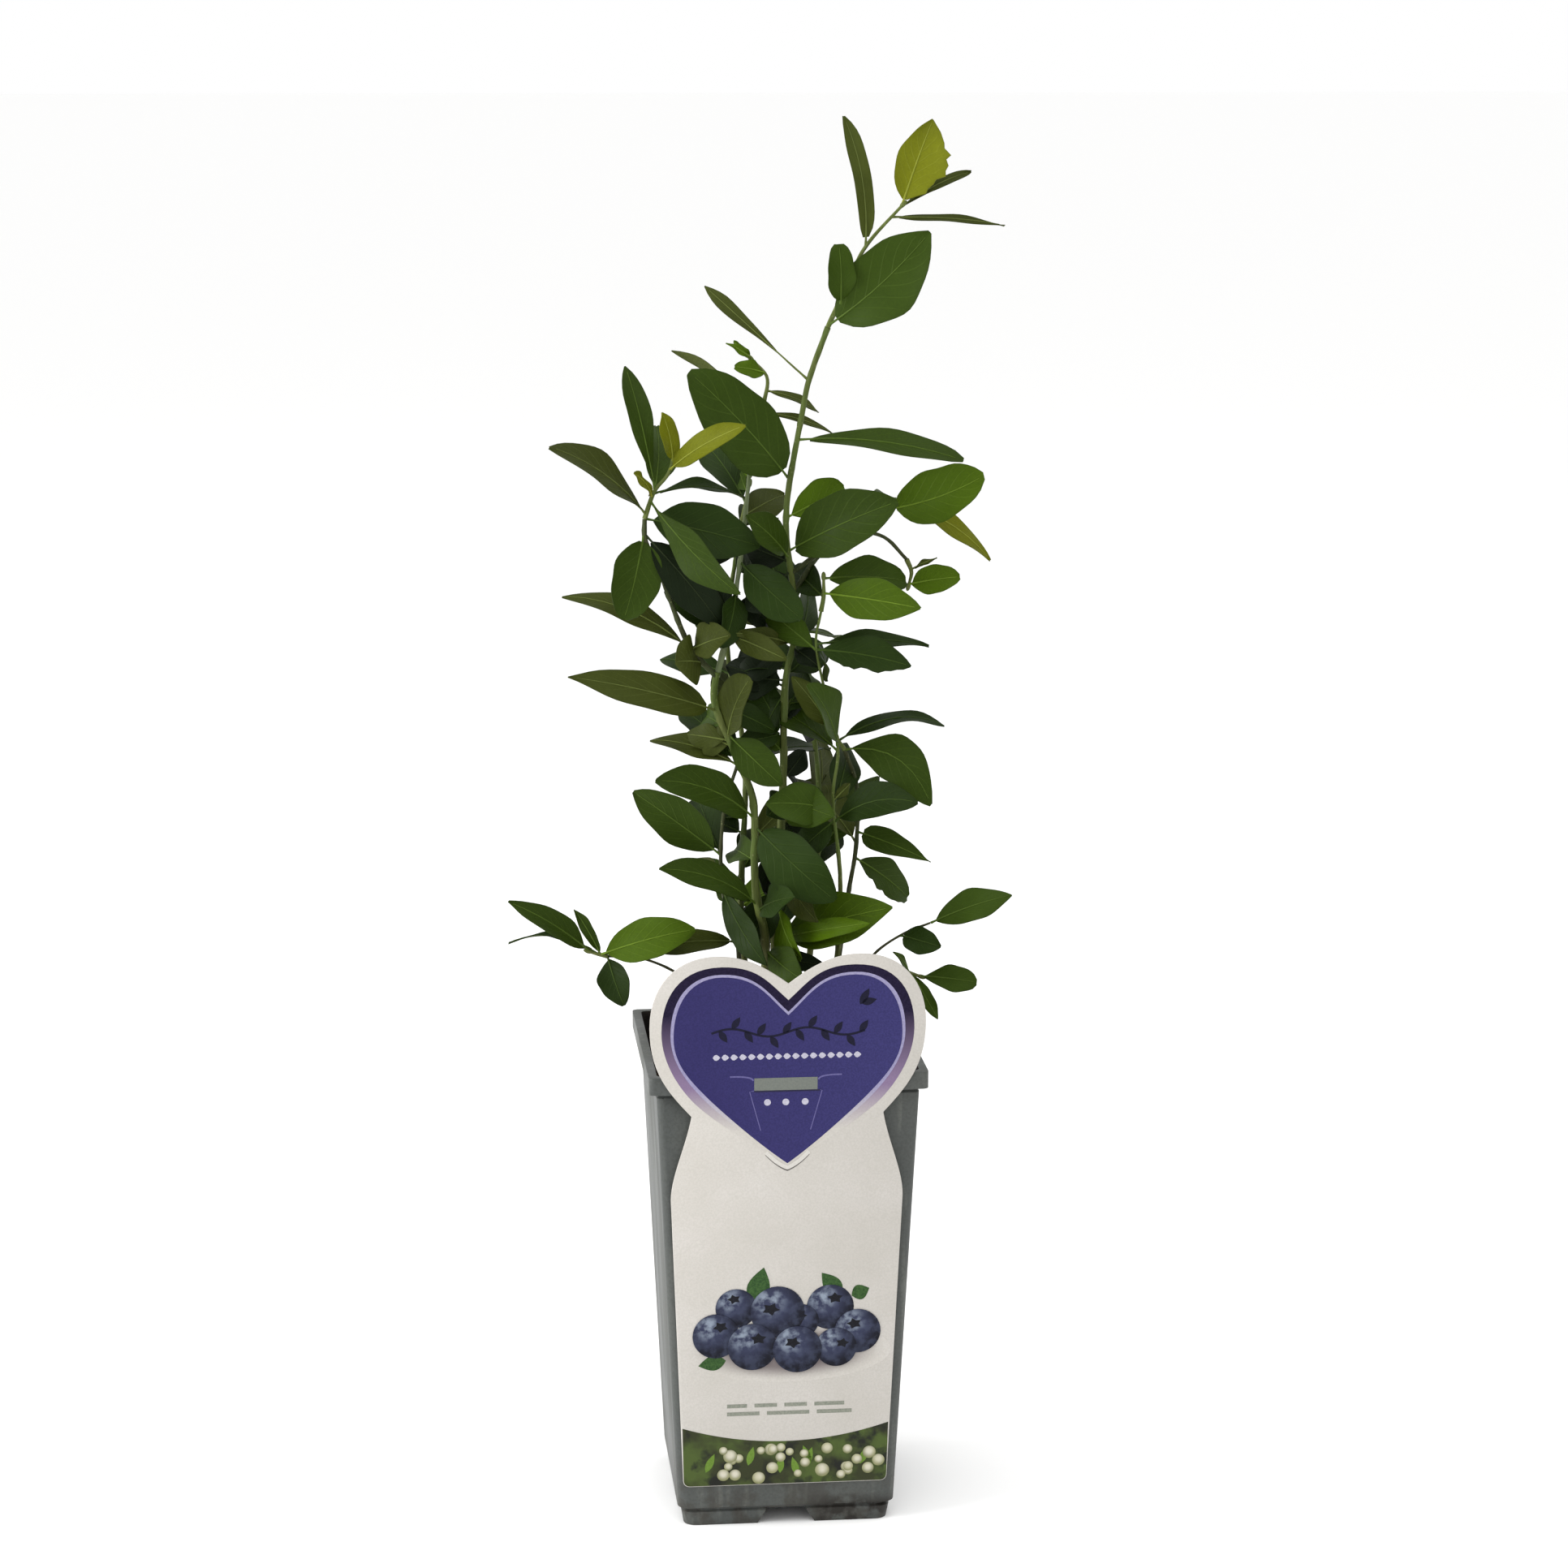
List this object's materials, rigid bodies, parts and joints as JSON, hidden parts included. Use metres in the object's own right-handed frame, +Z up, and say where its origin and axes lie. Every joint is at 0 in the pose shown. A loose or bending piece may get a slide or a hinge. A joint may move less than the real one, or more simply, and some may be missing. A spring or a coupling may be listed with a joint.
{
  "type": "blueberry bush in a pot",
  "caption": "Young upright blueberry bush with arching leafy shoots in a tall square tapered nursery pot of soil, with a heart-topped plant label hung on the front rim.",
  "frame": {"origin": "middle of the whole plant and pot's footprint, on the level that the pot's foot stands on", "axes": "+Z up, the pot's labelled front faces -Y, +X to the right seen from the front"},
  "size_m": [0.2026, 0.1464, 0.5573],
  "materials": {
    "pot_plastic": "satin moulded grey nursery-pot plastic, scuffed and dusty",
    "potting_soil": "rough damp peat and bark potting mix",
    "label_card": "satin off-white printed plastic card",
    "green_stem": "matt yellow-green young bark",
    "foliage": "matt mid-green leaves, paler and greyer beneath"
  },
  "bodies": {
    "root": {"pot": "pot_plastic", "soil": "potting_soil", "label": "label_card", "stem_main": "green_stem", "stem_left": "green_stem", "stem_right": "green_stem", "stem_right_thin": "green_stem", "stem_left_thin": "green_stem", "stem_back_left": "green_stem", "stem_back_right": "green_stem", "bough_left_outer": "green_stem", "bough_left_inner": "green_stem", "bough_right_upper": "green_stem", "bough_right_mid": "green_stem", "bough_low_left": "green_stem", "bough_low_right": "green_stem", "bough_low_right_rear": "green_stem", "bough_low_back": "green_stem", "foliage_top": "foliage", "foliage_main_upper": "foliage", "foliage_left_inner": "foliage", "foliage_left_tip": "foliage", "foliage_left_centre": "foliage", "foliage_left_shoulder": "foliage", "foliage_inner_low": "foliage", "foliage_main_centre": "foliage", "foliage_right_upper": "foliage", "foliage_right_bright": "foliage", "foliage_right_mid": "foliage", "foliage_right_ragged": "foliage", "foliage_right_centre": "foliage", "foliage_right_arched": "foliage", "foliage_right_low": "foliage", "foliage_left_mid": "foliage", "foliage_main_mid": "foliage", "foliage_centre_low": "foliage", "foliage_left_low": "foliage", "foliage_left_thin": "foliage", "foliage_base_left": "foliage", "foliage_base_centre": "foliage", "foliage_low_left": "foliage", "foliage_low_right": "foliage", "foliage_low_right_rear": "foliage", "foliage_low_back": "foliage", "foliage_back_left_low": "foliage", "foliage_back_left_mid": "foliage", "foliage_back_left_top": "foliage", "foliage_back_right_low": "foliage", "foliage_back_right_top": "foliage"}
  },
  "joints": []
}
